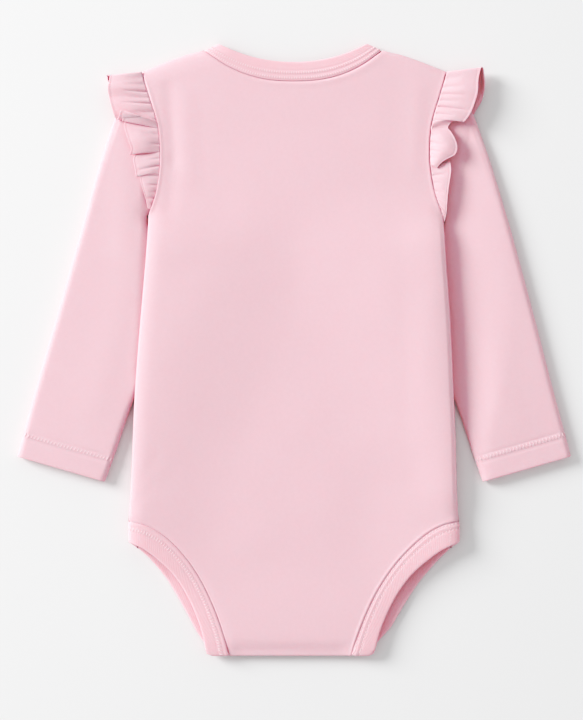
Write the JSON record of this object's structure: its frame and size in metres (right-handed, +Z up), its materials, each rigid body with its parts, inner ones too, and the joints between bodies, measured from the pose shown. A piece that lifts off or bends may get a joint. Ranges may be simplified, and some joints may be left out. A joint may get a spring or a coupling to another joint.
{
  "type": "baby onesie",
  "caption": "Long-sleeved baby bodysuit lying flat and face down, with armhole ruffles, a rib neckband, banded leg holes and a snapped crotch.",
  "frame": {"origin": "on the surface the garment lies on, under the middle of its bounding box", "axes": "+Y from the crotch towards the neck, +X to the right of someone looking down at the back, +Z up from the surface"},
  "size_m": [0.3884, 0.4296, 0.0147],
  "materials": {
    "body_cloth": "soft light pink cotton jersey",
    "band_cloth": "light pink rib knit",
    "ruffle_cloth": "thin light pink cotton jersey, gathered",
    "snap": "smooth pink moulded snap cap"
  },
  "bodies": {
    "root": {"back_panel": "body_cloth", "front_panel": "body_cloth", "sleeve_left": "body_cloth", "sleeve_right": "body_cloth", "neckband": "band_cloth", "leg_band_left": "band_cloth", "leg_band_right": "band_cloth", "ruffle_left": "ruffle_cloth", "ruffle_right": "ruffle_cloth", "snap_cap_1": "snap", "snap_cap_2": "snap", "snap_cap_3": "snap"}
  },
  "joints": []
}
